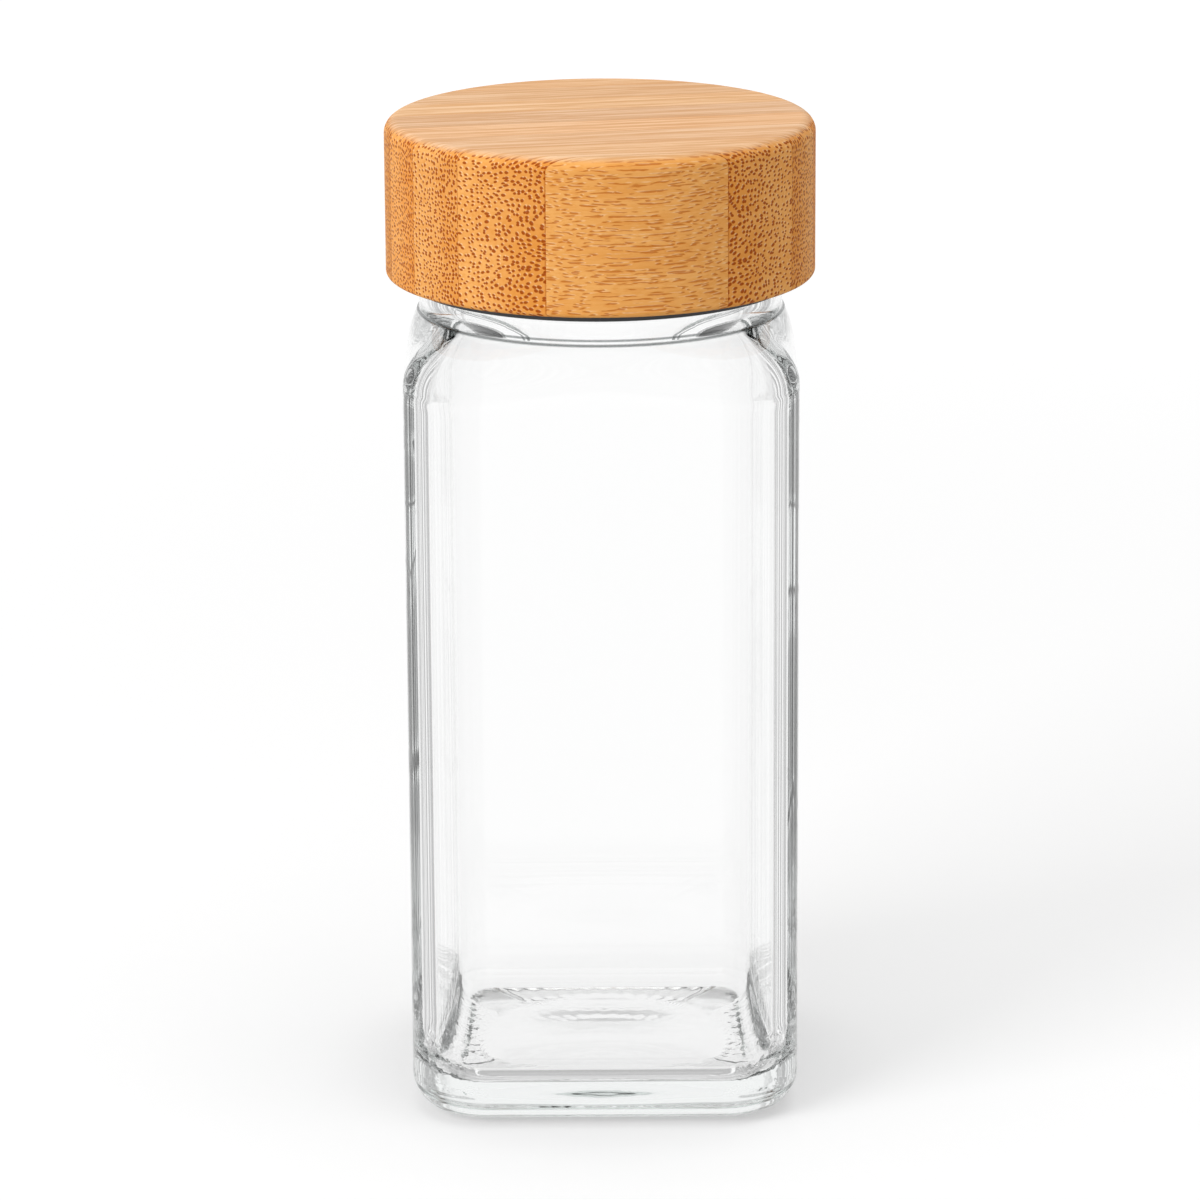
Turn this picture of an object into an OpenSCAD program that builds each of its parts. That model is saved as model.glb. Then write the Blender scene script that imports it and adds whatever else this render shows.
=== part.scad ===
// Square glass spice jar with a laminated bamboo screw lid.
// Millimetres, +Z up. The origin is the centre of the base, on the surface the jar stands on.

/* [Glass body] */
// Width of the square body across its flat sides
body_w = 43; // [43:0.5:60]
// Height at which the flat sides end and the shoulder starts
side_h = 82.7; // [50:0.1:140]
// Radius of the upright corners outside
corner_r = 8.5; // [6:0.5:10]
// Radius of the upright corners inside
inner_corner_r = 6; // [4.5:0.5:7.5]
// Wall thickness at the flat sides
wall_t = 2.6; // [2:0.1:3]
// Radius of the round at the foot
foot_r = 4; // [2:0.5:5]
// Thickness of the glass floor
floor_t = 4; // [3:0.5:8]
// Radius of the round between the floor and the inside of the walls
floor_r = 4; // [2:0.5:5]
// Radius of the round hollow under the base
punt_r = 14.5; // [10:0.5:15]
// Depth of the hollow under the base
punt_depth = 0.4; // [0.2:0.1:1.4]
// Height of the shoulder, from the flat sides to the neck
shoulder_h = 6; // [4:0.5:9]
// Height by which the shoulder inside starts below the one outside
shoulder_t = 2.3; // [1.8:0.1:3]
// Height over which the inside narrows to the mouth
inner_shoulder_h = 11; // [9:0.5:13]

/* [Glass neck] */
// Diameter of the neck's collar and of the thread's crest
neck_d = 40; // [38:0.1:41]
// Height of the neck, from the shoulder to the rim
neck_h = 13.9; // [13:0.1:18]
// Height of the plain collar under the thread
collar_h = 2.6; // [2:0.1:3]
// Diameter of the mouth
mouth_d = 33; // [28:0.5:34]
// Depth of the thread on the neck
thread_depth = 1.1; // [0.9:0.05:1.2]
// Rise of the thread in one turn
thread_pitch = 4; // [3.6:0.1:4.4]
// Turns of thread on the neck
neck_turns = 1.5; // [1.2:0.05:1.6]
// Turns of thread in the lid
lid_turns = 1.25; // [1:0.05:1.4]
// Distance from the rim down to the middle of the thread's upper end
thread_top_gap = 1.8; // [1.6:0.1:2.2]

/* [Bamboo lid] */
// Wall of bamboo around the recess for the insert
lid_wall = 2.4; // [1.8:0.1:8]
// Height of the bamboo
lid_h = 17.2; // [16.6:0.1:17.6]
// Radius of the round along the top edge
lid_round = 1.5; // [0.8:0.1:2]
// Radius of the round along the bottom edge
lid_foot_round = 0.5; // [0.3:0.1:0.8]
// Thickness of the bamboo over the recess
lid_roof_t = 4.7; // [3.5:0.1:6]
// Number of glued bamboo strips
strip_count = 8; // [4:1:12]
// Thickness of the first strip, at the front of the lid
front_strip_t = 2.15; // [1.2:0.05:6]
// Turn of the strips about the lid's axis
strip_turn = 10.5; // [0:0.5:45]

/* [Threaded insert] */
// Wall thickness of the plastic insert
insert_wall = 0.8; // [0.7:0.05:1]
// Thickness of the insert's roof
insert_roof_t = 1.2; // [0.8:0.1:1.6]
// Height of insert that shows below the bamboo
insert_drop = 0.9; // [0.5:0.1:1]
// Gap between the neck's thread crest and the insert's wall
crest_gap = 0.3; // [0.2:0.05:0.4]
// Depth by which the two threads overlap
thread_bite = 0.65; // [0.5:0.05:0.75]
// Glue gap around the insert
glue_gap = 0.1; // [0.05:0.05:0.2]
// Depth of each glue groove around the insert
groove_depth = 0.2; // [0.1:0.05:0.3]
// Height of each glue groove
groove_h = 1; // [0.8:0.1:1.2]
// Number of glue grooves
groove_count = 3; // [1:1:3]

/* [Seal] */
// Thickness of the sealing liner
liner_t = 1; // [0.6:0.1:1.5]
// Depth of the relief in the middle of the liner
liner_relief = 0.3; // [0.1:0.1:0.4]

/* [Clearances] */
// Gap on each side of the liner
liner_gap = 0.05; // [0.02:0.01:0.1]
// Gap between the flanks of the two threads
flank_gap = 0.15; // [0.1:0.05:0.25]

/* [Hidden] */
$fn = 96;
eps = 0.01;

// Heights, from the table up
ring_z = side_h + shoulder_h;
rim_z = ring_z + neck_h;
liner_z = rim_z + liner_gap;
insert_ceiling_z = liner_z + liner_t + liner_gap;
insert_top_z = insert_ceiling_z + insert_roof_t;
lid_top_z = insert_top_z + lid_roof_t;
lid_foot_z = lid_top_z - lid_h;
insert_foot_z = lid_foot_z - insert_drop;

// Radii of the neck, the thread and the insert
neck_r = neck_d / 2;
mouth_r = mouth_d / 2;
root_r = neck_r - thread_depth;
insert_inner_r = neck_r + crest_gap;
insert_outer_r = insert_inner_r + insert_wall;
insert_crest_r = neck_r - thread_bite;
recess_r = insert_outer_r + glue_gap;
lid_r = recess_r + lid_wall;

// Half heights of the thread ridges at their foot and crest
ridge_foot_half = 0.9;
ridge_crest_half = 0.45;
ridge_sink = 0.3;
ridge_steps_per_turn = 30;
ridge_fade_steps = 4;
// Half height of a ridge at radius r, and of the two ridges together where they overlap
function ridge_half(foot, crest, r) =
    ridge_foot_half + (ridge_crest_half - ridge_foot_half) * (r - foot) / (crest - foot);
function meeting_half(r) =
    ridge_half(root_r - ridge_sink, neck_r, r) + ridge_half(insert_inner_r + ridge_sink, insert_crest_r, r);
// Height by which the lid's ridge lies under the neck's ridge
ridge_offset = max(meeting_half(neck_r), meeting_half(insert_crest_r)) + flank_gap;
neck_thread_top_z = rim_z - thread_top_gap;
neck_thread_z = neck_thread_top_z - neck_turns * thread_pitch;
thread_start_angle = 200;

// Shape of the rings that the glass is lofted through
corner_steps = 8;
flat_steps = 6;
ring_points = 4 * (corner_steps + flat_steps);
round_steps = 5;
shoulder_steps = 10;
shoulder_sink = 0.1;
mouth_sink = 0.8;
collar_chamfer = 0.5;
rim_round = 0.6;
// At 1 the shoulder is a plain slope, above 1 it starts upright and leans in later
shoulder_power = 2;

// Liner: it clears the lid's thread, and its relief stays inside the mouth
liner_clear = 0.15;
relief_inset = 1.5;
liner_r = insert_crest_r - liner_clear;
relief_r = mouth_r - relief_inset;

// The strips behind the first one share the rest of the lid
first_glue_line = lid_r - front_strip_t;
strip_w = (lid_r + first_glue_line) / (strip_count - 1);
STRIPS = [for (i = [1 : strip_count]) str("bamboo_strip_", i)];

// One side and one corner of a rounded square, as seen from above, anticlockwise
function quarter_outline(half, radius) = concat(
    [for (i = [0 : flat_steps - 1]) [half, (half - radius) * (2 * i / flat_steps - 1)]],
    [for (i = [0 : corner_steps - 1])
        let (a = 90 * i / corner_steps)
        [half - radius + radius * cos(a), half - radius + radius * sin(a)]]);

function turned(p, a) = [p[0] * cos(a) - p[1] * sin(a), p[0] * sin(a) + p[1] * cos(a)];

// A level ring of points: a rounded square, drawn towards a circle as roundness goes from 0 to 1
function ring(half, radius, z, roundness = 0, circle_r = 1) = [
    for (side = [0 : 3], p = quarter_outline(half, radius))
        let (
            q = turned(p, 90 * side),
            c = q * circle_r / norm(q),
            m = q * (1 - roundness) + c * roundness
        )
        [m[0], m[1], z]];

// A closed skin through level rings that are listed from the bottom up
module loft(rings) {
    n = ring_points;
    last = len(rings) - 1;
    low = (last + 1) * n;
    polyhedron(
        points = concat(
            [for (r = rings, p = r) p],
            [[0, 0, rings[0][0][2]], [0, 0, rings[last][0][2]]]
        ),
        faces = [for (i = [0 : n - 1])
            let (j = (i + 1) % n)
            each concat(
                [[i, j, low], [last * n + j, last * n + i, low + 1]],
                [for (k = [0 : last - 1])
                    let (a = k * n + i, b = k * n + j)
                    each [[a, a + n, b + n], [a, b + n, b]]]
            )],
        convexity = 4
    );
}

// Rings of a rounded square box with a round of edge_r at its foot
function foot_rings(half, radius, edge_r, z) = [
    for (i = [0 : round_steps])
        let (a = 90 * i / round_steps, inset = edge_r * (1 - sin(a)))
        ring(half - inset, radius - inset, z + edge_r * (1 - cos(a)))];

// Two ways to lean from the square to the circle as t goes from 0 to 1
function leaning(t) = pow(t, shoulder_power);
function eased(t) = t * t * t * (10 - 15 * t + 6 * t * t);

// Rings of a shoulder that rises from a rounded square at height z to a circle
function shoulder_rings(half, radius, z, height, circle_r, inside = false) = [
    for (i = [0 : shoulder_steps])
        let (t = i / shoulder_steps)
        ring(half, radius, z + height * t, inside ? eased(t) : leaning(t), circle_r)];

// A screw ridge on a wall, from foot_r to crest_r, with faded ends
module screw_ridge(foot_r, crest_r, z, turns) {
    steps = round(turns * ridge_steps_per_turn);
    points = [
        for (i = [0 : steps])
            let (
                share = i / steps,
                a = thread_start_angle + 360 * turns * share,
                fade = max(0.1, min(1, i / ridge_fade_steps, (steps - i) / ridge_fade_steps)),
                r = foot_r + (crest_r - foot_r) * fade,
                middle = z + thread_pitch * turns * share
            )
            each [
                [foot_r * cos(a), foot_r * sin(a), middle - ridge_foot_half],
                [r * cos(a), r * sin(a), middle - ridge_crest_half],
                [r * cos(a), r * sin(a), middle + ridge_crest_half],
                [foot_r * cos(a), foot_r * sin(a), middle + ridge_foot_half]
            ]];
    sides = [
        for (k = [0 : steps - 1], i = [0 : 3])
            let (
                j = (i + 1) % 4,
                a = 4 * k + i,
                b = 4 * k + j,
                c = 4 * (k + 1) + j,
                d = 4 * (k + 1) + i
            )
            each [[a, b, c], [a, c, d]]];
    ends = [[3, 2, 1, 0], [for (i = [0 : 3]) 4 * steps + i]];
    faces = concat(sides, ends);
    turned_over = [for (f = faces) [for (i = [len(f) - 1 : -1 : 0]) f[i]]];
    polyhedron(points, crest_r > foot_r ? faces : turned_over, convexity = 6);
}

// Outside of the glass: rounded foot, flat sides and shoulder
module glass_outside() {
    half = body_w / 2;
    loft(concat(
        foot_rings(half, corner_r, foot_r, 0),
        shoulder_rings(half, corner_r, side_h, shoulder_h, neck_r - shoulder_sink)
    ));
}

// Inside of the glass, up to where it meets the mouth
module glass_inside() {
    half = body_w / 2 - wall_t;
    start_z = side_h - shoulder_t;
    top_r = mouth_r - mouth_sink;
    loft(concat(
        foot_rings(half, inner_corner_r, floor_r, floor_t),
        shoulder_rings(half, inner_corner_r, start_z, inner_shoulder_h, top_r, inside = true)
    ));
}

// Turned outline of the neck: collar, thread root and rounded rim
module neck_outside() {
    rotate_extrude() {
        square_top = rim_z - rim_round;
        translate([0, side_h + shoulder_h / 2]) square([neck_r, shoulder_h / 2 + collar_h]);
        polygon([
            [0, ring_z + collar_h - eps],
            [neck_r, ring_z + collar_h - eps],
            [neck_r, ring_z + collar_h],
            [root_r, ring_z + collar_h + collar_chamfer],
            [root_r, square_top],
            [0, square_top]
        ]);
        translate([0, square_top - eps]) square([root_r - rim_round, rim_round + eps]);
        translate([root_r - rim_round, square_top]) circle(rim_round);
    }
}

// Shallow dome that hollows the base
module punt() {
    dome_r = (punt_r * punt_r + punt_depth * punt_depth) / (2 * punt_depth);
    rotate_extrude()
        intersection() {
            translate([0, punt_depth - dome_r]) circle(dome_r, $fn = 720);
            translate([0, -1]) square([2 * punt_r, punt_depth + 2]);
        }
}

// The one piece of glass
module glass_jar() {
    color([0.86, 0.9, 0.89, 0.35])
    difference() {
        union() {
            glass_outside();
            neck_outside();
            screw_ridge(root_r - ridge_sink, neck_r, neck_thread_z, neck_turns);
        }
        glass_inside();
        translate([0, 0, side_h]) cylinder(r = mouth_r, h = rim_z - side_h + 1);
        punt();
    }
}

// Flat seal that the lid presses onto the rim; its middle is relieved
module seal_liner() {
    color([0.92, 0.92, 0.9])
    difference() {
        translate([0, 0, liner_z]) cylinder(r = liner_r, h = liner_t);
        translate([0, 0, liner_z - 1]) cylinder(r = relief_r, h = liner_relief + 1);
    }
}

// Black plastic cup with the lid's thread, glued into the bamboo
module threaded_insert() {
    insert_h = insert_top_z - insert_foot_z;
    cavity_h = insert_ceiling_z - insert_foot_z;
    groove_step = insert_h / (groove_count + 1);
    color([0.05, 0.05, 0.06])
    union() {
        difference() {
            translate([0, 0, insert_foot_z]) cylinder(r = insert_outer_r, h = insert_h);
            translate([0, 0, insert_foot_z - 1]) cylinder(r = insert_inner_r, h = cavity_h + 1);
            for (i = [1 : groove_count])
                translate([0, 0, insert_foot_z + groove_step * i - groove_h / 2])
                    rotate_extrude()
                        translate([insert_outer_r - groove_depth, 0])
                            square([groove_depth + 1, groove_h]);
        }
        screw_ridge(insert_inner_r + ridge_sink, insert_crest_r, neck_thread_z - ridge_offset, lid_turns);
    }
}

// Turned shape of the whole lid, before it is seen as strips
module lid_blank() {
    difference() {
        translate([0, 0, lid_foot_z])
            rotate_extrude() {
                square([lid_r - lid_foot_round, lid_h - lid_round]);
                translate([0, lid_foot_round]) square([lid_r, lid_h - lid_round - lid_foot_round]);
                translate([0, lid_h - lid_round - eps]) square([lid_r - lid_round, lid_round + eps]);
                translate([lid_r - lid_round, lid_h - lid_round]) circle(lid_round);
                translate([lid_r - lid_foot_round, lid_foot_round]) circle(lid_foot_round);
            }
        translate([0, 0, lid_foot_z - 1]) cylinder(r = recess_r, h = insert_top_z - lid_foot_z + 1);
    }
}

// Front side of strip i. The first and the last strip reach past the lid, which cuts them.
function strip_front(i) =
    i == 1 ? -lid_r - 1 :
    i > strip_count ? lid_r + 1 : (i - 2) * strip_w - first_glue_line;

// One glued strip of the lid
module bamboo_strip(i) {
    shades = [[0.86, 0.62, 0.36], [0.9, 0.67, 0.4], [0.83, 0.59, 0.33]];
    color(shades[i % 3])
    intersection() {
        lid_blank();
        rotate(strip_turn)
            translate([-lid_r - 1, strip_front(i), lid_foot_z - 1])
                cube([2 * lid_r + 2, strip_front(i + 1) - strip_front(i), lid_h + 2]);
    }
}

glass_jar();
seal_liner();
threaded_insert();
for (i = [1 : strip_count]) bamboo_strip(i);
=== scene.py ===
import math

import bmesh
import bpy
from bpy.props import FloatProperty, FloatVectorProperty, PointerProperty
from mathutils import Matrix, Vector


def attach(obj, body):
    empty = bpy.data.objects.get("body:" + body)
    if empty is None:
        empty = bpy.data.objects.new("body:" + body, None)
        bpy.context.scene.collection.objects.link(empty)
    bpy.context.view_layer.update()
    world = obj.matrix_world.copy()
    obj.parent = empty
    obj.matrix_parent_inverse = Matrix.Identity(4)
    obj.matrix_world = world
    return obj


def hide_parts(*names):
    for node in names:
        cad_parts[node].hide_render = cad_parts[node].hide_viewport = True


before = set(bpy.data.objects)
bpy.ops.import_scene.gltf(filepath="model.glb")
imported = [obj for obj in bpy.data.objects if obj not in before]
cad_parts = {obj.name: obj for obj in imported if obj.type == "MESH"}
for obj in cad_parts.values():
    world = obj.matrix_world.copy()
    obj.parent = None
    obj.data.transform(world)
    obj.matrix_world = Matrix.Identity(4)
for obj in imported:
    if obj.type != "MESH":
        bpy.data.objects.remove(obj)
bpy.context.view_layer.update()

bl_info = {
    "name": "Square Spice Jar",
    "version": (1, 0, 0),
    "blender": (4, 5, 0),
    "location": "3D View > Sidebar > Spice Jar",
    "description": "Makes the clear glass, the laminated bamboo lid and the studio of a square spice jar",
    "category": "Object",
}

STRIPS = sorted(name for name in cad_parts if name.startswith("bamboo_strip_"))

# Stations of a glass ring: each side of the square has a flat and then a corner
FLAT_STATIONS = 24
CORNER_STATIONS = 32
SIDE_STATIONS = FLAT_STATIONS + CORNER_STATIONS
STATIONS = 4 * SIDE_STATIONS
# Height that the glass's relief pattern stands for, in metres
BUMP_DISTANCE = 0.00005


def length(name, description, default):
    return FloatProperty(name=name, description=description, default=default, min=0.0, unit="LENGTH", precision=5)


def colour(name, description, default):
    return FloatVectorProperty(name=name, description=description, default=default, min=0.0, max=1.0, subtype="COLOR")


class GlassSettings(bpy.types.PropertyGroup):
    body_width: length("Body width", "Width of the square body across its flat sides", 0.043)
    side_height: length("Side height", "Height at which the flat sides end", 0.0827)
    corner_radius: length("Corner radius", "Radius of the upright corners outside", 0.0085)
    inner_corner_radius: length("Inner corner radius", "Radius of the upright corners inside", 0.006)
    wall: length("Wall", "Thickness of the flat walls", 0.0026)
    foot_radius: length("Foot radius", "Round at the foot", 0.004)
    floor: length("Floor", "Thickness of the glass floor", 0.004)
    floor_radius: length("Floor radius", "Round between the floor and the walls inside", 0.004)
    hollow_radius: length("Hollow radius", "Radius of the hollow under the base", 0.0145)
    hollow_depth: length("Hollow depth", "Depth of the hollow under the base", 0.0004)
    stipple: length("Stipple", "Height of the small ribs on the ring that the jar stands on", 0.0003)
    crinkle: length("Crinkle", "Height of the crinkles in the round between floor and walls", 0.00012)
    shoulder_height: length("Shoulder height", "Height from the flat sides to the neck", 0.0060)
    ring_fillet: length("Ring fillet", "Hollow round where the shoulder meets the neck", 0.0004)
    shoulder_thickness: length("Shoulder thickness", "How far the inner shoulder starts under the outer one", 0.0023)
    inner_shoulder_height: length("Inner shoulder height", "Height over which the inside narrows to the mouth", 0.0110)
    neck_radius: length("Neck radius", "Radius of the collar and of the thread's crest", 0.020)
    neck_height: length("Neck height", "Height from the shoulder to the rim", 0.0139)
    collar_height: length("Collar height", "Height of the plain collar under the thread", 0.0026)
    mouth_radius: length("Mouth radius", "Radius of the mouth", 0.0165)
    thread_depth: length("Thread depth", "Depth of the neck's thread", 0.0011)
    thread_pitch: length("Thread pitch", "Rise of the thread in one turn", 0.004)
    thread_turns: FloatProperty(name="Thread turns", description="Turns of thread on the neck", default=1.5, min=0.5, max=3.0)
    thread_top_gap: length("Thread top gap", "From the rim down to the thread's upper end", 0.0018)
    ior: FloatProperty(name="IOR", description="How strongly the glass bends light", default=1.5, min=1.0, max=2.0)
    tint: colour("Tint", "Colour that thick glass takes", (0.60, 0.66, 0.645))
    tint_density: FloatProperty(name="Tint density", description="How fast thick glass takes its tint, per metre", default=7.0, min=0.0)


class BambooSettings(bpy.types.PropertyGroup):
    turn: FloatProperty(name="Board turn", description="Turn of the strips about the lid's axis", default=math.radians(10.5), subtype="ANGLE")
    first_glue_line: length("First glue line", "From the lid's axis to the front glue line", 0.02145)
    strip_width: length("Strip width", "Width of one strip", 0.006436)
    bundle_across: length("Bundle spacing across", "Spacing of the fibre bundles across a strip", 0.00045)
    bundle_up: length("Bundle spacing up", "Spacing of the fibre bundles up the lid", 0.00057)
    pale: colour("Pale ground", "Ground between the fibre bundles, pale", (0.87, 0.435, 0.135))
    deep: colour("Deep ground", "Ground between the fibre bundles, deep", (0.74, 0.285, 0.052))
    bundle: colour("Bundle", "Dark heart of a fibre bundle", (0.33, 0.050, 0.0005))
    streak: colour("Streak", "Fibre bundle that is cut along its length", (0.50, 0.125, 0.010))
    # pale sheath beside a fibre bundle; being set off to one side of the bundle, it is also a painted highlight
    sheath_and_highlight: colour("Cream", "Pale sheath beside a fibre bundle", (0.98, 0.71, 0.42))
    top: colour("Top", "Sanded top face", (0.86, 0.570, 0.345))


class FittingSettings(bpy.types.PropertyGroup):
    plastic: colour("Insert", "Black plastic of the threaded insert", (0.010, 0.011, 0.013))
    liner: colour("Liner", "White foam of the sealing liner", (0.80, 0.80, 0.77))


class StudioSettings(bpy.types.PropertyGroup):
    camera_back: length("Camera back", "Distance of the camera in front of the jar's axis", 0.62102)
    camera_height: length("Camera height", "Height of the camera over the table", 0.23111)
    camera_tilt: FloatProperty(name="Camera tilt", description="How far the camera looks down", default=math.radians(15.859), subtype="ANGLE")
    camera_roll: FloatProperty(name="Camera roll", description="Roll of the camera about its view", default=-0.0058, subtype="ANGLE")
    focal_length: FloatProperty(name="Focal length", description="Lens for a 36 mm sensor, in millimetres", default=173.226, min=1.0)
    room: FloatProperty(name="Room light", description="Strength of the even light of the room", default=0.62, min=0.0)
    key: FloatProperty(name="Key light", description="Power of the large soft lamp on the left, in watts", default=4.9, min=0.0)
    fill: FloatProperty(name="Top light", description="Power of the soft lamp over the table, in watts", default=1.6, min=0.0)
    flag: FloatProperty(name="Flag tone", description="Tone of the darkest stripes that thick glass shows", default=0.12, min=0.0, max=1.0)
    stripes: FloatProperty(name="Stripes", description="How close together those stripes lie", default=16.0, min=1.0)


# Glass

def station_on_square(half, radius, station):
    """Place of a station on a rounded square, anticlockwise from the +X side."""
    side, step = divmod(station, SIDE_STATIONS)
    if step < FLAT_STATIONS:
        x, y = half, (half - radius) * (2 * step / FLAT_STATIONS - 1)
    else:
        a = math.radians(90 * (step - FLAT_STATIONS) / CORNER_STATIONS)
        x, y = half - radius + radius * math.cos(a), half - radius + radius * math.sin(a)
    turn = math.radians(90 * side)
    return x * math.cos(turn) - y * math.sin(turn), x * math.sin(turn) + y * math.cos(turn)


class Ring:
    """A level ring of the glass: a rounded square drawn towards a circle as roundness goes from 0 to 1."""

    def __init__(self, z, half, radius, roundness=0.0, circle=0.0, ribs=0.0, thread=None):
        self.z, self.half, self.radius = z, half, radius
        self.roundness, self.circle = roundness, circle
        self.ribs, self.thread = ribs, thread

    def place(self, station):
        x, y = station_on_square(self.half, self.radius, station)
        reach = math.hypot(x, y)
        circle = self.circle + (self.thread(math.atan2(y, x), self.z) if self.thread else 0.0)
        share = (1 - self.roundness) + self.roundness * circle / reach
        return Vector((x * share, y * share, self.z + (self.ribs if station % 2 else 0.0)))


def eased(count):
    return [i / count for i in range(1, count + 1)]


def neck_thread(glass, rim):
    """Height of the thread's ridge over the neck, by angle and height."""
    top = rim - glass.thread_top_gap
    low = top - glass.thread_turns * glass.thread_pitch
    start = math.radians(200)

    def ridge(angle, z):
        best = 0.0
        for lap in range(3):
            turns = ((angle - start) % math.tau) / math.tau + lap
            if turns <= glass.thread_turns:
                fade = min(1.0, turns * 7.5, (glass.thread_turns - turns) * 7.5)
                middle = low + glass.thread_pitch * turns
                slope = (0.00084 - abs(z - middle)) / 0.00042
                best = max(best, min(1.0, max(0.0, slope)) * fade)
        smooth = best * best * (3 - 2 * best)
        return glass.thread_depth * smooth

    return ridge


def glass_rings(glass):
    """The rings of the jar from the middle of the hollow, over the outside and the rim, to the middle of the floor."""
    half, corner = glass.body_width / 2, glass.corner_radius
    ring_z = glass.side_height + glass.shoulder_height
    rim = ring_z + glass.neck_height
    root = glass.neck_radius - glass.thread_depth
    rings = []

    def round_ring(circle, z, **more):
        rings.append(Ring(z, half, corner, 1.0, circle, **more))

    # hollow under the base
    for t in [0.03] + eased(20):
        round_ring(glass.hollow_radius * t, glass.hollow_depth * math.cos(math.radians(90 * t)) ** 2)
    # ring that the jar stands on, with its small ribs
    inset = glass.foot_radius
    for t in eased(6):
        rings.append(Ring(0.0, half - inset, corner - inset, 1 - t, glass.hollow_radius, ribs=glass.stipple * (1.0 if 0 < t < 0.95 else 0.4)))
    for t in eased(14):
        a = math.radians(90 * t)
        inset = glass.foot_radius * (1 - math.sin(a))
        z = glass.foot_radius * (1 - math.cos(a))
        rings.append(Ring(z, half - inset, corner - inset, ribs=glass.stipple * max(0.0, 0.4 - 4 * t * t)))
    # flat sides
    for t in eased(12):
        rings.append(Ring(glass.foot_radius + (glass.side_height - glass.foot_radius) * t, half, corner))
    # shoulder, up to the neck
    lip = glass.ring_fillet
    for t in eased(36):
        rings.append(Ring(glass.side_height + (glass.shoulder_height - 0.5 * lip) * t, half, corner, t * t, glass.neck_radius + 0.6 * lip))
    for t in eased(8):
        a = math.radians(35 + 55 * t)
        round_ring(glass.neck_radius + lip * (1 - math.sin(a)) * 0.6 / (1 - math.sin(math.radians(35))), ring_z - 0.5 * lip + lip * (math.cos(math.radians(35)) - math.cos(a)))
    # collar
    collar = ring_z + glass.collar_height
    foot = rings[-1].z
    for t in eased(4):
        round_ring(glass.neck_radius, foot + (collar - 0.0003 - foot) * t)
    for t in eased(5):
        a = math.radians(75 * t)
        round_ring(glass.neck_radius - 0.0003 * (1 - math.cos(a)), collar - 0.0003 + 0.0003 * math.sin(a))
    # threaded part
    ridge = neck_thread(glass, rim)
    low, high = collar + 0.00045, rim - 0.0006
    for i in range(69):
        round_ring(root, low + (high - low) * i / 68, thread=ridge)
    # rim
    for t in eased(7):
        a = math.radians(90 * t)
        round_ring(root - 0.0006 * (1 - math.cos(a)), high + 0.0006 * math.sin(a))
    for t in eased(7):
        a = math.radians(90 * t)
        round_ring(glass.mouth_radius + 0.0005 * (1 - math.sin(a)), rim - 0.0005 * (1 - math.cos(a)))
    # mouth, inner shoulder and inner walls
    inner_half, inner_corner = half - glass.wall, glass.inner_corner_radius
    shoulder_z = glass.side_height - glass.shoulder_thickness
    inner_top = shoulder_z + glass.inner_shoulder_height
    for t in eased(6):
        round_ring(glass.mouth_radius, rim - 0.0005 + (inner_top - rim + 0.0005) * t)
    for t in [1 - e for e in eased(44)]:
        rings.append(Ring(shoulder_z + (inner_top - shoulder_z) * t, inner_half, inner_corner, t ** 3 * (10 - 15 * t + 6 * t * t), glass.mouth_radius))
    floor_z = glass.floor + glass.floor_radius
    for t in eased(12):
        rings.append(Ring(shoulder_z + (floor_z - shoulder_z) * t, inner_half, inner_corner))
    # floor
    for t in [1 - e for e in eased(14)]:
        a = math.radians(90 * t)
        inset = glass.floor_radius * (1 - math.sin(a))
        rings.append(Ring(glass.floor + glass.floor_radius * (1 - math.cos(a)), inner_half - inset, inner_corner - inset))
    inset = glass.floor_radius
    for t in eased(12)[:-1]:
        rings.append(Ring(glass.floor, (inner_half - inset) * (1 - t), (inner_corner - inset) * (1 - t) + 0.3 * t * (1 - t) * inner_half))
    return rings


def ring_swept_mesh(name, rings):
    """A closed skin that is extruded from ring to ring; its first and last ring shrink to a pole."""
    bm = bmesh.new()
    station = bm.verts.layers.int.new("station")
    bmesh.ops.create_circle(bm, cap_ends=False, segments=STATIONS, radius=1.0)
    around = sorted(bm.verts, key=lambda v: math.atan2(v.co.y, v.co.x))
    for number, vert in enumerate(around):
        vert[station] = number
        vert.co = rings[0].place(number)
    first, edges = list(bm.verts), list(bm.edges)
    for ring in rings[1:]:
        grown = bmesh.ops.extrude_edge_only(bm, edges=edges)["geom"]
        verts = {part for part in grown if isinstance(part, bmesh.types.BMVert)}
        edges = [part for part in grown if isinstance(part, bmesh.types.BMEdge) and set(part.verts) <= verts]
        for vert in verts:
            vert.co = ring.place(vert[station])
    for pole, z in ((first, rings[0].z), (list(verts), rings[-1].z)):
        bmesh.ops.pointmerge(bm, verts=pole, merge_co=(0.0, 0.0, z))
    bmesh.ops.recalc_face_normals(bm, faces=bm.faces)
    for face in bm.faces:
        face.smooth = True
    mesh = bpy.data.meshes.new(name)
    bm.to_mesh(mesh)
    bm.free()
    return mesh


# Materials

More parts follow.
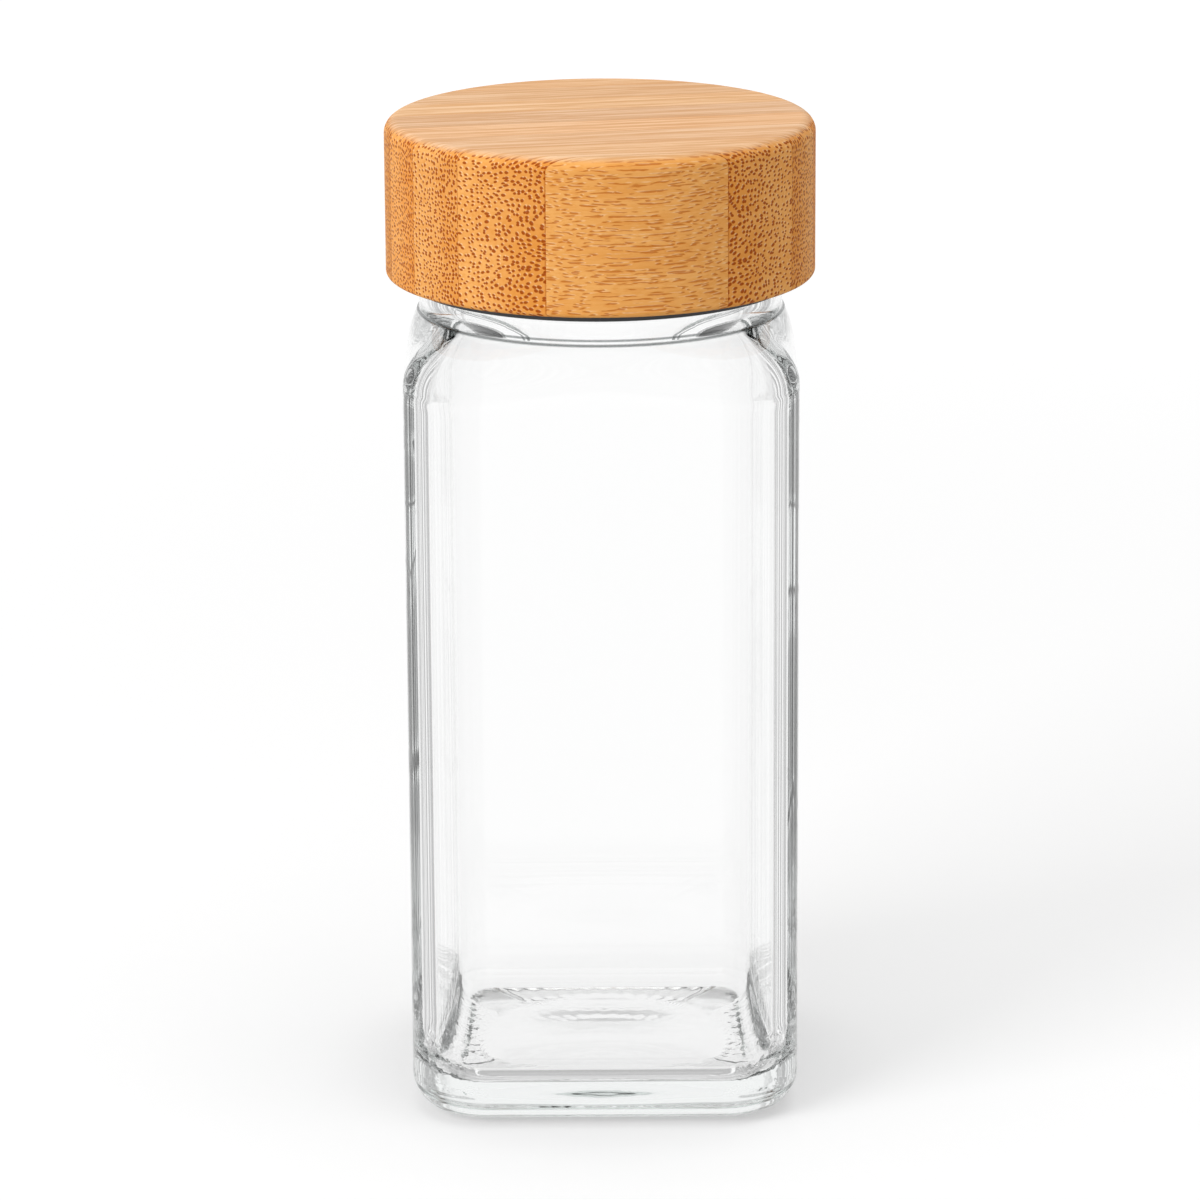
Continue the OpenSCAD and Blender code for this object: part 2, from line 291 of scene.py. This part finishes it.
class Nodes:
    """Short hand for a material's or world's node tree."""

    def __init__(self, owner):
        owner.use_nodes = True
        self.tree = owner.node_tree
        self.tree.nodes.clear()

    def add(self, kind, inputs=None, **settings):
        node = self.tree.nodes.new(kind)
        for key, value in settings.items():
            setattr(node, key, value)
        for key, value in (inputs or {}).items():
            self.feed(node.inputs[key], value)
        return node

    def feed(self, socket, value):
        if isinstance(value, bpy.types.NodeSocket):
            self.tree.links.new(value, socket)
        elif isinstance(value, (tuple, list)) and len(value) == 3 and socket.type == "RGBA":
            socket.default_value = (*value, 1.0)
        else:
            socket.default_value = value

    def math(self, operation, a, b=0.0, c=0.0, clamp=False):
        node = self.add("ShaderNodeMath", operation=operation, use_clamp=clamp)
        for socket, value in zip(node.inputs, (a, b, c)):
            self.feed(socket, value)
        return node.outputs[0]

    def mix(self, amount, a, b, blend="MIX"):
        node = self.add("ShaderNodeMix", data_type="RGBA", blend_type=blend)
        self.feed(node.inputs["Factor"], amount)
        self.feed(node.inputs["A"], a if isinstance(a, bpy.types.NodeSocket) else (*a, 1.0))
        self.feed(node.inputs["B"], b if isinstance(b, bpy.types.NodeSocket) else (*b, 1.0))
        return node.outputs["Result"]

    def step(self, value, low, high, to_low=0.0, to_high=1.0):
        node = self.add("ShaderNodeMapRange", interpolation_type="SMOOTHSTEP")
        for key, item in (("Value", value), ("From Min", low), ("From Max", high), ("To Min", to_low), ("To Max", to_high)):
            self.feed(node.inputs[key], item)
        return node.outputs["Result"]

    def vector(self, x, y, z):
        return self.add("ShaderNodeCombineXYZ", {"X": x, "Y": y, "Z": z}).outputs[0]

    def noise(self, vector, scale, detail=2.0, roughness=0.5):
        return self.add("ShaderNodeTexNoise", {"Vector": vector, "Scale": scale, "Detail": detail, "Roughness": roughness})


def walled_in(n, path):
    """1 for light that was mirrored inside the glass before it left."""
    mirrored = n.math("GREATER_THAN", path.outputs["Glossy Depth"], 0.5)
    passed = n.math("GREATER_THAN", path.outputs["Transmission Depth"], 0.5)
    return n.math("MULTIPLY", mirrored, passed)


def painted_mirror_glow(n):
    """Glow that only the mirror images in thick glass show, because the photo has no dark images there."""
    return n.math("MULTIPLY", walled_in(n, n.add("ShaderNodeLightPath")), 0.82)


def clear_glass(glass):
    material = bpy.data.materials.new("clear_pressed_glass")
    n = Nodes(material)
    place = n.add("ShaderNodeTexCoord").outputs["Object"]
    swell = n.noise(n.add("ShaderNodeMapping", {"Vector": place, "Scale": (1.0, 1.0, 0.35)}).outputs[0], 55.0, 1.0).outputs["Fac"]
    drawn = n.noise(n.add("ShaderNodeMapping", {"Vector": place, "Scale": (1.0, 1.0, 0.03)}).outputs[0], 420.0, 1.0).outputs["Fac"]
    # the round between the floor and the two side walls is crinkled; the photo shows none at the front
    split = n.add("ShaderNodeSeparateXYZ", {"Vector": place})
    sideways = n.math("ABSOLUTE", split.outputs["X"])
    wall_inside = glass.body_width / 2 - glass.wall
    inside = n.step(sideways, wall_inside + 0.0003, wall_inside + 0.0008, 1.0, 0.0)
    rounded = n.step(sideways, wall_inside - 1.5 * glass.floor_radius, wall_inside - 0.8 * glass.floor_radius)
    low = n.step(split.outputs["Z"], glass.floor + glass.floor_radius, glass.floor + 1.8 * glass.floor_radius, 1.0, 0.0)
    above = n.step(split.outputs["Z"], 0.8 * glass.floor, 0.95 * glass.floor)
    crinkled = n.math("MULTIPLY", n.math("MULTIPLY", inside, rounded), n.math("MULTIPLY", low, above))
    crinkle = n.noise(place, 520.0, 2.0, 0.6).outputs["Fac"]
    height = n.math("MULTIPLY_ADD", drawn, 0.16, swell)
    height = n.math("MULTIPLY_ADD", n.math("MULTIPLY", crinkle, crinkled), glass.crinkle / BUMP_DISTANCE, height)
    bump = n.add("ShaderNodeBump", {"Strength": 1.0, "Distance": BUMP_DISTANCE, "Height": height})
    # the crease where the shoulder meets the neck is painted dark, as a stand-in for the dark lines in the photo
    crease_z = glass.side_height + glass.shoulder_height
    off_crease = n.math("ABSOLUTE", n.math("SUBTRACT", split.outputs["Z"], crease_z - 0.0001))
    skin = n.mix(n.step(off_crease, 0.00006, 0.00022, 0.0, 1.0), (0.10, 0.11, 0.11), (1.0, 1.0, 1.0))
    shader = n.add("ShaderNodeBsdfPrincipled", {
        "Base Color": skin, "Roughness": 0.0, "IOR": glass.ior,
        "Transmission Weight": 1.0, "Normal": bump.outputs[0],
    })
    volume = n.add("ShaderNodeVolumeAbsorption", {"Color": (*glass.tint, 1.0), "Density": glass.tint_density})
    out = n.add("ShaderNodeOutputMaterial")
    n.tree.links.new(shader.outputs[0], out.inputs["Surface"])
    n.tree.links.new(volume.outputs[0], out.inputs["Volume"])
    return material


def bamboo(look, number, near, far, tone, flat_cut=False):
    """Bamboo of one strip: fibre bundles run along the board, so they show as dots on end grain.

    A flat cut runs along the bundles, which weave in and out of it and show as short streaks.
    """
    material = bpy.data.materials.new("bamboo_strip_%d" % number)
    n = Nodes(material)
    place = n.add("ShaderNodeTexCoord").outputs["Object"]
    board = n.add("ShaderNodeMapping", {"Vector": place, "Rotation": (0.0, 0.0, -look.turn), "Scale": (1000.0, 1000.0, 1000.0)}).outputs[0]
    split = n.add("ShaderNodeSeparateXYZ", {"Vector": board})
    along, across, up = split.outputs["X"], split.outputs["Y"], split.outputs["Z"]
    seed = 17.3 * number
    # fibres wander a little along the board
    weave = (0.32, 0.3, 1.9) if flat_cut else (0.045, 0.22, 0.22)
    weave_across, weave_up = (1.5, 0.2) if flat_cut else (1.6, 1.6)
    wander = n.noise(n.vector(
        n.math("MULTIPLY", along, weave[0]),
        n.math("MULTIPLY_ADD", across, weave[1], seed),
        n.math("MULTIPLY", up, weave[2]),
    ), 1.0, 2.0)
    drift = n.add("ShaderNodeSeparateColor", {"Color": wander.outputs["Color"]})
    across_w = n.math("MULTIPLY_ADD", n.math("SUBTRACT", drift.outputs[0], 0.5), weave_across, across)
    up_w = n.math("MULTIPLY_ADD", n.math("SUBTRACT", drift.outputs[1], 0.5), weave_up, up)
    # share is 0 at the front of the strip, the outer side of the culm where the bundles crowd, and 1 at its back
    share = n.math("DIVIDE", n.math("SUBTRACT", across_w, near * 1000), (far - near) * 1000)
    dense = n.step(share, 0.0, 1.0, 1.0, 0.0)
    crowded = n.math("MULTIPLY_ADD", n.math("MULTIPLY", share, share), -0.42, n.math("MULTIPLY", share, 1.42))
    fineness = 0.72 if flat_cut else 0.94
    cells = n.vector(
        n.math("MULTIPLY", crowded, (far - near) / (look.bundle_across * fineness)),
        n.math("MULTIPLY", up_w, 0.001 / (look.bundle_up * fineness)),
        0.0,
    )
    cells = n.add("ShaderNodeMapping", {"Vector": cells, "Location": (seed, 0.37 * seed, 0.0)}).outputs[0]
    bundles = n.add("ShaderNodeTexVoronoi", {"Vector": cells, "Scale": 1.0, "Randomness": 0.75}, voronoi_dimensions="2D")
    # the pale sheath is drawn off to one side of each bundle, which adds a painted highlight on the bundle's lit side
    lit_cells = n.add("ShaderNodeMapping", {"Vector": cells, "Location": (0.20, -0.20, 0.0)}).outputs[0]
    sheath = n.add("ShaderNodeTexVoronoi", {"Vector": lit_cells, "Scale": 1.0, "Randomness": 0.75}, voronoi_dimensions="2D")
    vary = n.add("ShaderNodeSeparateColor", {"Color": bundles.outputs["Color"]})
    size = n.math("MULTIPLY", n.math("MULTIPLY_ADD", dense, 0.08, 0.25), n.math("MULTIPLY_ADD", vary.outputs[0], 0.35, 0.82))
    dot = n.math("SUBTRACT", 1.0, n.step(bundles.outputs["Distance"], n.math("MULTIPLY", size, 0.75), n.math("MULTIPLY", size, 1.25)), clamp=True)
    sheath_and_highlight = n.math("SUBTRACT", 1.0, n.step(sheath.outputs["Distance"], 0.12, 0.30), clamp=True)
    # ground: slow tone along the grain and fine fibre lines
    slow = n.noise(n.vector(n.math("MULTIPLY", along, 0.03), n.math("MULTIPLY_ADD", across_w, 0.55, seed), n.math("MULTIPLY", up_w, 0.55)), 1.0, 3.0).outputs["Fac"]
    fine = n.noise(n.vector(n.math("MULTIPLY", along, 0.11), n.math("MULTIPLY_ADD", across_w, 3.4, seed), n.math("MULTIPLY", up_w, 3.4)), 1.0, 3.0, 0.65).outputs["Fac"]
    # the sanded top shows the grain faintly
    facing = n.add("ShaderNodeSeparateXYZ", {"Vector": n.add("ShaderNodeNewGeometry").outputs["Normal"]}).outputs["Z"]
    on_top = n.step(facing, 0.60, 0.985)
    depth = n.math("MULTIPLY_ADD", n.math("POWER", dense, 2.0), 0.0 if flat_cut else 0.55, n.step(slow, 0.35, 0.68, 0.08, 0.45), clamp=True)
    ground = n.mix(depth, look.pale, look.deep)
    ground = n.mix(n.step(fine, 0.42, 0.72, 0.0, 0.6), ground, look.deep)
    sides = n.mix(n.math("MULTIPLY", sheath_and_highlight, 0.40 if flat_cut else 0.50), ground, look.sheath_and_highlight)
    sides = n.mix(n.math("MULTIPLY", dot, 0.72 if flat_cut else 0.90), sides, look.streak if flat_cut else look.bundle)
    lines = n.noise(n.vector(n.math("MULTIPLY", along, 0.03), n.math("MULTIPLY_ADD", across, 1.25, seed), 0.0), 1.0, 4.0, 0.8).outputs["Fac"]
    streak = n.math("MULTIPLY_ADD", dot, 0.14, n.step(lines, 0.44, 0.56), clamp=True)
    top_low = tuple(c * f for c, f in zip(look.top, (0.80, 0.65, 0.49)))
    top = n.mix(streak, n.mix(n.step(slow, 0.3, 0.7, 0.0, 0.35), look.top, top_low), top_low)
    skin = n.mix(on_top, sides, top)
    # thin glue line at the front face of the strip
    glue = n.math("SUBTRACT", 1.0, n.step(n.math("ABSOLUTE", n.math("SUBTRACT", across, near * 1000)), 0.02, 0.11), clamp=True)
    skin = n.mix(n.math("MULTIPLY", glue, 0.45), skin, look.bundle)
    skin = n.mix(1.0, skin, tone, blend="MULTIPLY")
    relief = n.math("MULTIPLY_ADD", dot, -1.0, n.math("MULTIPLY", fine, -0.5))
    bump = n.add("ShaderNodeBump", {"Strength": 0.35, "Distance": 0.00008, "Height": relief})
    rough = n.math("MULTIPLY_ADD", fine, 0.16, 0.40)
    shader = n.add("ShaderNodeBsdfPrincipled", {
        "Base Color": skin, "Roughness": rough, "IOR": 1.45, "Specular IOR Level": 0.02, "Normal": bump.outputs[0],
    })
    out = n.add("ShaderNodeOutputMaterial")
    n.tree.links.new(shader.outputs[0], out.inputs["Surface"])
    return material


def insert_plastic(fittings):
    material = bpy.data.materials.new("black_moulded_plastic")
    n = Nodes(material)
    place = n.add("ShaderNodeTexCoord").outputs["Object"]
    grain = n.noise(place, 5200.0, 2.0).outputs["Fac"]
    flow = n.noise(place, 160.0, 2.0).outputs["Fac"]
    colour_node = n.mix(n.step(flow, 0.3, 0.7, 0.0, 0.5), fittings.plastic, tuple(1.8 * c for c in fittings.plastic))
    bump = n.add("ShaderNodeBump", {"Strength": 0.2, "Distance": 0.00002, "Height": grain})
    # painted glow: the black insert glows white where thick glass mirrors it, so its mirror images show white
    shader = n.add("ShaderNodeBsdfPrincipled", {
        "Base Color": colour_node, "Roughness": n.math("MULTIPLY_ADD", grain, 0.2, 0.26), "IOR": 1.5, "Normal": bump.outputs[0],
        "Emission Color": (1.0, 1.0, 1.0, 1.0), "Emission Strength": painted_mirror_glow(n),
    })
    n.tree.links.new(shader.outputs[0], n.add("ShaderNodeOutputMaterial").inputs["Surface"])
    return material


def liner_foam(fittings):
    material = bpy.data.materials.new("white_liner_foam")
    n = Nodes(material)
    place = n.add("ShaderNodeTexCoord").outputs["Object"]
    cells = n.add("ShaderNodeTexVoronoi", {"Vector": place, "Scale": 3200.0}).outputs["Distance"]
    cloud = n.noise(place, 240.0, 3.0).outputs["Fac"]
    colour_node = n.mix(n.step(cloud, 0.3, 0.7, 0.0, 0.6), fittings.liner, tuple(0.93 * c for c in fittings.liner))
    bump = n.add("ShaderNodeBump", {"Strength": 0.25, "Distance": 0.00003, "Height": cells})
    # painted glow: the liner glows white where thick glass mirrors it, so its mirror images show white
    shader = n.add("ShaderNodeBsdfPrincipled", {
        "Base Color": colour_node, "Roughness": n.math("MULTIPLY_ADD", cloud, 0.2, 0.5), "IOR": 1.45, "Normal": bump.outputs[0],
        "Emission Color": (1.0, 1.0, 1.0, 1.0), "Emission Strength": painted_mirror_glow(n),
    })
    n.tree.links.new(shader.outputs[0], n.add("ShaderNodeOutputMaterial").inputs["Surface"])
    return material


def coat(node, material):
    """Gives a carried-over CAD node its finish."""
    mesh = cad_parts[node].data
    if not mesh.materials:
        mesh.materials.append(material)
    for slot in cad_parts[node].material_slots:
        slot.material = material


# Operators

class JAR_OT_glass(bpy.types.Operator):
    """Make the clear glass jar with its threaded neck"""
    bl_idname = "spice_jar.glass"
    bl_label = "Glass Jar"

    def execute(self, context):
        glass = context.scene.spice_jar_glass
        mesh = ring_swept_mesh("clear_jar", glass_rings(glass))
        mesh.materials.append(clear_glass(glass))
        jar = bpy.data.objects.new("clear_jar", mesh)
        context.collection.objects.link(jar)
        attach(jar, "jar")
        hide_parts("glass_jar")
        return {"FINISHED"}


class JAR_OT_bamboo(bpy.types.Operator):
    """Give each bamboo strip of the lid its own grain"""
    bl_idname = "spice_jar.bamboo"
    bl_label = "Bamboo Strips"

    def execute(self, context):
        look = context.scene.spice_jar_bamboo
        tones = ((0.97, 0.97, 0.95), (1.0, 1.0, 1.0), (0.98, 0.99, 1.03), (1.0, 0.97, 0.95),
                 (0.93, 0.94, 1.0), (1.0, 1.0, 0.98), (0.95, 0.95, 0.96), (1.0, 0.99, 0.97))
        for node in STRIPS:
            number = int(node.rsplit("_", 1)[1])
            near = -look.first_glue_line + (number - 2) * look.strip_width
            tone = tones[(number - 1) % len(tones)]
            coat(node, bamboo(look, number, near, near + look.strip_width, tone, flat_cut=number in (1, 8)))
        return {"FINISHED"}


class JAR_OT_fittings(bpy.types.Operator):
    """Finish the threaded insert and the sealing liner"""
    bl_idname = "spice_jar.fittings"
    bl_label = "Insert and Liner"

    def execute(self, context):
        fittings = context.scene.spice_jar_fittings
        coat("threaded_insert", insert_plastic(fittings))
        coat("seal_liner", liner_foam(fittings))
        return {"FINISHED"}


def room_lines(n, place, spacing, seed, darkest, weight):
    """White room with grey fields, each edged by a thin dark line, along one direction; weight 0 leaves it white."""
    level = n.add("ShaderNodeTexNoise", {"W": n.math("MULTIPLY_ADD", place, spacing, seed), "Scale": 1.0, "Detail": 1.0}, noise_dimensions="1D").outputs["Fac"]
    field = n.step(level, 0.47, 0.55)
    edge = n.math("SUBTRACT", 1.0, n.step(n.math("ABSOLUTE", n.math("SUBTRACT", level, 0.47)), 0.0, 0.028), clamp=True)
    grey = n.math("MULTIPLY_ADD", field, -0.50, 1.0)
    tone = n.math("MULTIPLY", grey, n.math("MULTIPLY_ADD", edge, darkest - 1.0, 1.0))
    return n.math("MULTIPLY_ADD", weight, n.math("SUBTRACT", tone, 1.0), 1.0)


class JAR_OT_stage(bpy.types.Operator):
    """Set up the floor, the room, the lamps and the camera"""
    bl_idname = "spice_jar.stage"
    bl_label = "Stage"

    def execute(self, context):
        studio = context.scene.spice_jar_studio
        scene = context.scene
        bm = bmesh.new()
        bmesh.ops.create_grid(bm, x_segments=1, y_segments=1, size=4.0, matrix=Matrix.Translation((0.0, 0.0, -0.0002)))
        mesh = bpy.data.meshes.new("table")
        bm.to_mesh(mesh)
        bm.free()
        table = bpy.data.objects.new("table", mesh)
        context.collection.objects.link(table)
        material = bpy.data.materials.new("pale_table")
        n = Nodes(material)
        path = n.add("ShaderNodeLightPath")
        paper = n.add("ShaderNodeBsdfDiffuse", {"Color": (0.54, 0.54, 0.54, 1.0)})
        away = n.add("ShaderNodeVectorMath", {0: n.add("ShaderNodeTexCoord").outputs["Object"]}, operation="LENGTH").outputs["Value"]
        seen = n.math("MAXIMUM", path.outputs["Is Camera Ray"], n.math("MAXIMUM", path.outputs["Is Transmission Ray"], path.outputs["Is Glossy Ray"]))
        # painted shadow: the glow of the table is dimmed close to the jar's foot
        glow_less_painted_shadow = n.math("SUBTRACT", n.step(away, 0.1, 0.7, 0.35, 0.54), n.step(away, 0.022, 0.034, 0.04, 0.0))
        white = n.math("MULTIPLY_ADD", seen, glow_less_painted_shadow, 0.10)
        glow = n.add("ShaderNodeEmission", {"Color": (1.0, 1.0, 1.0, 1.0), "Strength": white})
        lit = n.add("ShaderNodeAddShader")
        n.tree.links.new(paper.outputs[0], lit.inputs[0])
        n.tree.links.new(glow.outputs[0], lit.inputs[1])
        through = n.add("ShaderNodeEmission", {"Color": (1.0, 1.0, 1.0, 1.0), "Strength": 0.97})
        shown = n.add("ShaderNodeMixShader", {"Fac": n.math("MULTIPLY", path.outputs["Is Transmission Ray"], 0.8)})
        n.tree.links.new(lit.outputs[0], shown.inputs[1])
        n.tree.links.new(through.outputs[0], shown.inputs[2])
        hidden = n.math("MAXIMUM", n.add("ShaderNodeNewGeometry").outputs["Backfacing"], walled_in(n, path))
        under = n.add("ShaderNodeMixShader", {"Fac": hidden})
        n.tree.links.new(shown.outputs[0], under.inputs[1])
        n.tree.links.new(n.add("ShaderNodeBsdfTransparent").outputs[0], under.inputs[2])
        n.tree.links.new(under.outputs[0], n.add("ShaderNodeOutputMaterial").inputs["Surface"])
        mesh.materials.append(material)

        world = bpy.data.worlds.new("soft_room")
        scene.world = world
        n = Nodes(world)
        path = n.add("ShaderNodeLightPath")
        room = n.add("ShaderNodeBackground", {"Color": (1.0, 1.0, 1.0, 1.0), "Strength": studio.room})
        white = n.add("ShaderNodeBackground", {"Color": (1.0, 1.0, 1.0, 1.0), "Strength": 1.0})
        # light that the glass bends aside shows a striped room, so its corners and thick walls get their lines
        way = n.add("ShaderNodeTexCoord").outputs["Generated"]
        axis = n.add("ShaderNodeSeparateXYZ", {"Vector": way})
        bearing = n.math("ARCTAN2", axis.outputs["Y"], axis.outputs["X"])
        # the upright lines stand at the sides of the room, so the flat walls and the floor of the jar stay clear
        sideways = n.step(n.math("ABSOLUTE", axis.outputs["X"]), 0.22, 0.45)
        upright = room_lines(n, bearing, studio.stripes, 3.7, studio.flag, sideways)
        # seen from the camera, light through the upright walls leaves at 0.36 at most, and only steeper light
        # sees level lines
        steep = n.step(n.math("ABSOLUTE", axis.outputs["Z"]), 0.38, 0.43)
        guided = n.math("GREATER_THAN", path.outputs["Glossy Depth"], 2.5)
        stacked = n.math("MULTIPLY", n.math("MAXIMUM", steep, guided), walled_in(n, path))
        level = room_lines(n, axis.outputs["Z"], studio.stripes * 3.0, 1.3, 1.2 * studio.flag, stacked)
        tone = n.math("MULTIPLY", upright, level)
        flag = n.add("ShaderNodeBackground", {"Color": (1.0, 1.0, 1.0, 1.0), "Strength": tone})
        seen = n.math("MAXIMUM", path.outputs["Is Camera Ray"], n.math("MAXIMUM", path.outputs["Is Transmission Ray"], path.outputs["Is Glossy Ray"]))
        base = n.add("ShaderNodeMixShader", {"Fac": seen})
        n.tree.links.new(room.outputs[0], base.inputs[1])
        n.tree.links.new(white.outputs[0], base.inputs[2])
        passed = n.math("GREATER_THAN", path.outputs["Transmission Depth"], 0.5)
        full = n.add("ShaderNodeMixShader", {"Fac": passed})
        n.tree.links.new(base.outputs[0], full.inputs[1])
        n.tree.links.new(flag.outputs[0], full.inputs[2])
        n.tree.links.new(full.outputs[0], n.add("ShaderNodeOutputWorld").inputs["Surface"])

        for name, power, size, at in (
            ("left_softbox", studio.key, 0.5, (-0.62, -0.55, 0.52)),
            ("top_softbox", studio.fill, 0.6, (0.1, -0.1, 0.8)),
        ):
            lamp = bpy.data.lights.new(name, "AREA")
            lamp.energy, lamp.size = power, size
            holder = bpy.data.objects.new(name, lamp)
            holder.location = at
            holder.visible_glossy = holder.visible_transmission = False
            holder.rotation_euler = (Vector((0.0, 0.0, 0.07)) - Vector(at)).to_track_quat("-Z", "Y").to_euler()
            context.collection.objects.link(holder)

        camera = bpy.data.cameras.new("camera")
        camera.lens, camera.sensor_width, camera.sensor_fit = studio.focal_length, 36.0, "HORIZONTAL"
        camera.shift_x = -2.47 / 1200
        camera.clip_start, camera.clip_end = 0.01, 20.0
        eye = bpy.data.objects.new("camera", camera)
        eye.location = (0.0, -studio.camera_back, studio.camera_height)
        look = Matrix.Rotation(math.radians(90) - studio.camera_tilt, 4, "X") @ Matrix.Rotation(studio.camera_roll, 4, "Z")
        eye.rotation_euler = look.to_euler()
        context.collection.objects.link(eye)
        scene.camera = eye
        scene.view_settings.view_transform = "Standard"
        # light that runs along inside the thick walls is mirrored many times before it leaves
        scene.cycles.max_bounces = 32
        scene.cycles.glossy_bounces = 24
        scene.cycles.transmission_bounces = 24
        return {"FINISHED"}


class JAR_PT_panel(bpy.types.Panel):
    """Sizes, colours and steps of the spice jar"""
    bl_idname = "JAR_PT_panel"
    bl_label = "Spice Jar"
    bl_space_type = "VIEW_3D"
    bl_region_type = "UI"
    bl_category = "Spice Jar"

    def draw(self, context):
        for operator, group in (
            (JAR_OT_glass, context.scene.spice_jar_glass),
            (JAR_OT_bamboo, context.scene.spice_jar_bamboo),
            (JAR_OT_fittings, context.scene.spice_jar_fittings),
            (JAR_OT_stage, context.scene.spice_jar_studio),
        ):
            box = self.layout.box()
            box.operator(operator.bl_idname)
            for key in group.bl_rna.properties.keys():
                if key not in {"rna_type", "name"}:
                    box.prop(group, key)


CLASSES = (
    GlassSettings, BambooSettings, FittingSettings, StudioSettings,
    JAR_OT_glass, JAR_OT_bamboo, JAR_OT_fittings, JAR_OT_stage, JAR_PT_panel,
)


def register():
    for cls in CLASSES:
        bpy.utils.register_class(cls)
    bpy.types.Scene.spice_jar_glass = PointerProperty(type=GlassSettings)
    bpy.types.Scene.spice_jar_bamboo = PointerProperty(type=BambooSettings)
    bpy.types.Scene.spice_jar_fittings = PointerProperty(type=FittingSettings)
    bpy.types.Scene.spice_jar_studio = PointerProperty(type=StudioSettings)


def unregister():
    for name in ("studio", "fittings", "bamboo", "glass"):
        delattr(bpy.types.Scene, "spice_jar_" + name)
    for cls in reversed(CLASSES):
        bpy.utils.unregister_class(cls)


def main():
    register()
    bpy.ops.spice_jar.stage()
    bpy.ops.spice_jar.glass()
    bpy.ops.spice_jar.bamboo()
    bpy.ops.spice_jar.fittings()


if __name__ == "__main__":
    main()
